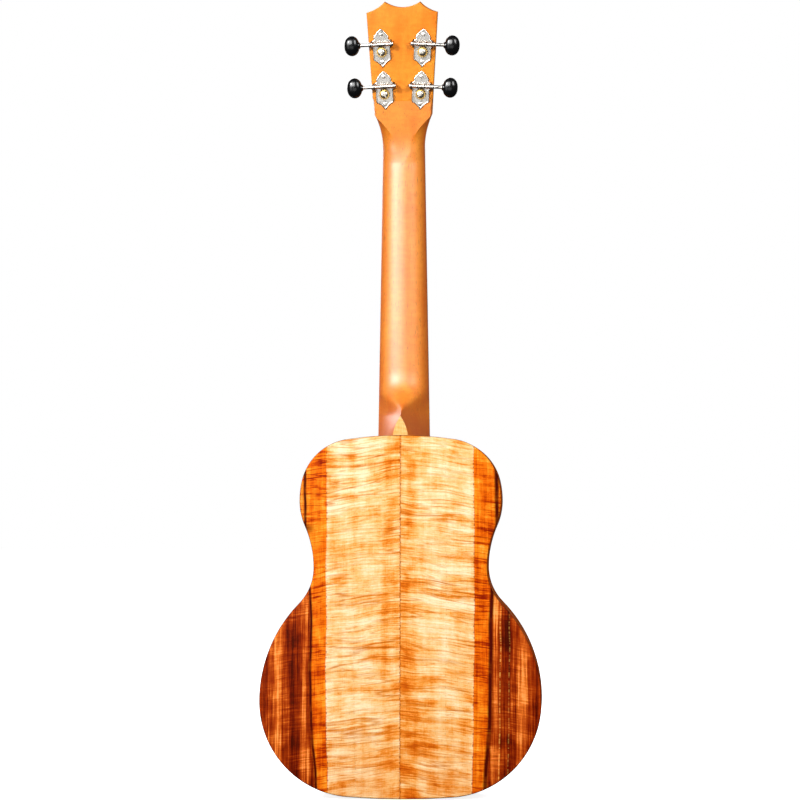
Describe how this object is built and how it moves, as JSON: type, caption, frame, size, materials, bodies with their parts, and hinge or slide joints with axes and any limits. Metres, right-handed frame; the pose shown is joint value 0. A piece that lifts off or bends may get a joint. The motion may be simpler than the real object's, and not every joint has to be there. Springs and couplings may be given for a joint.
{
  "type": "ukulele",
  "caption": "Tenor ukulele with a waisted bookmatched body, a slim neck and a crowned headstock with geared tuners.",
  "frame": {"origin": "under the middle of the body's box, level with the tail", "axes": "+Z from the tail to the headstock, -Y out of the soundboard, +Y out of the back, +X to the treble side"},
  "size_m": [0.2326, 0.0816, 0.6648],
  "materials": {
    "back_wood": "satin",
    "side_wood": "satin",
    "top_wood": "satin",
    "rosette": "satin",
    "mahogany": "satin",
    "spruce": "bare",
    "ebony": "satin",
    "bone": "polished",
    "nickel": "polished",
    "brass": "polished",
    "button": "gloss",
    "string": "translucent"
  },
  "bodies": {
    "instrument": {"soundboard_bass": "top_wood", "soundboard_treble": "top_wood", "rosette": "rosette", "back_bass": "back_wood", "back_treble": "back_wood", "heel_cap": "back_wood", "back_centre_strip": "spruce", "side_bass": "side_wood", "side_treble": "side_wood", "top_linings": "spruce", "back_linings": "spruce", "top_braces": "spruce", "back_braces": "spruce", "bridge_plate": "spruce", "neck_block": "mahogany", "tail_block": "mahogany", "neck": "mahogany", "headstock": "mahogany", "bridge": "ebony", "head_veneer": "ebony", "fretboard": "ebony", "saddle": "bone", "nut": "bone", "position_dots": "bone", "frets": "nickel", "plate_screws": "nickel", "post_bushings": "nickel", "string_g": "string", "tuner_plate_g": "nickel", "string_c": "string", "tuner_plate_c": "nickel", "string_e": "string", "tuner_plate_e": "nickel", "string_a": "string", "tuner_plate_a": "nickel"},
    "tuning_key_g": {"worm_shaft_g": "nickel", "button_g": "button"},
    "tuning_post_g": {"worm_wheel_g": "brass", "post_g": "nickel", "wheel_screw_g": "nickel", "string_winding_g": "string"},
    "tuning_key_c": {"worm_shaft_c": "nickel", "button_c": "button"},
    "tuning_post_c": {"worm_wheel_c": "brass", "post_c": "nickel", "wheel_screw_c": "nickel", "string_winding_c": "string"},
    "tuning_key_e": {"worm_shaft_e": "nickel", "button_e": "button"},
    "tuning_post_e": {"worm_wheel_e": "brass", "post_e": "nickel", "wheel_screw_e": "nickel", "string_winding_e": "string"},
    "tuning_key_a": {"worm_shaft_a": "nickel", "button_a": "button"},
    "tuning_post_a": {"worm_wheel_a": "brass", "post_a": "nickel", "wheel_screw_a": "nickel", "string_winding_a": "string"}
  },
  "joints": [
    {"name": "key_turn_g", "type": "hinge", "parent": "instrument", "child": "tuning_key_g", "pos_m": [-0.01555, -0.00184, 0.59237], "axis": [-0.9986, -0.0109, -0.0512], "continuous": true},
    {"name": "post_turn_g", "type": "hinge", "parent": "instrument", "child": "tuning_post_g", "pos_m": [-0.0152, -0.00321, 0.58592], "axis": [0, 0.9781, -0.2079], "continuous": true},
    {"name": "key_turn_c", "type": "hinge", "parent": "instrument", "child": "tuning_key_c", "pos_m": [-0.01745, 0.0055, 0.6269], "axis": [-0.9986, -0.0109, -0.0512], "continuous": true},
    {"name": "post_turn_c", "type": "hinge", "parent": "instrument", "child": "tuning_post_c", "pos_m": [-0.0171, 0.00413, 0.62045], "axis": [0, 0.9781, -0.2079], "continuous": true},
    {"name": "key_turn_e", "type": "hinge", "parent": "instrument", "child": "tuning_key_e", "pos_m": [0.01745, 0.0055, 0.6269], "axis": [0.9986, -0.0109, -0.0512], "continuous": true},
    {"name": "post_turn_e", "type": "hinge", "parent": "instrument", "child": "tuning_post_e", "pos_m": [0.0171, 0.00413, 0.62045], "axis": [0, 0.9781, -0.2079], "continuous": true},
    {"name": "key_turn_a", "type": "hinge", "parent": "instrument", "child": "tuning_key_a", "pos_m": [0.01555, -0.00184, 0.59237], "axis": [0.9986, -0.0109, -0.0512], "continuous": true},
    {"name": "post_turn_a", "type": "hinge", "parent": "instrument", "child": "tuning_post_a", "pos_m": [0.0152, -0.00321, 0.58592], "axis": [0, 0.9781, -0.2079], "continuous": true}
  ],
  "couplings": [
    {"joint": "post_turn_g", "follows": "key_turn_g", "ratio": -0.071429},
    {"joint": "post_turn_c", "follows": "key_turn_c", "ratio": -0.071429},
    {"joint": "post_turn_e", "follows": "key_turn_e", "ratio": -0.071429},
    {"joint": "post_turn_a", "follows": "key_turn_a", "ratio": -0.071429}
  ]
}
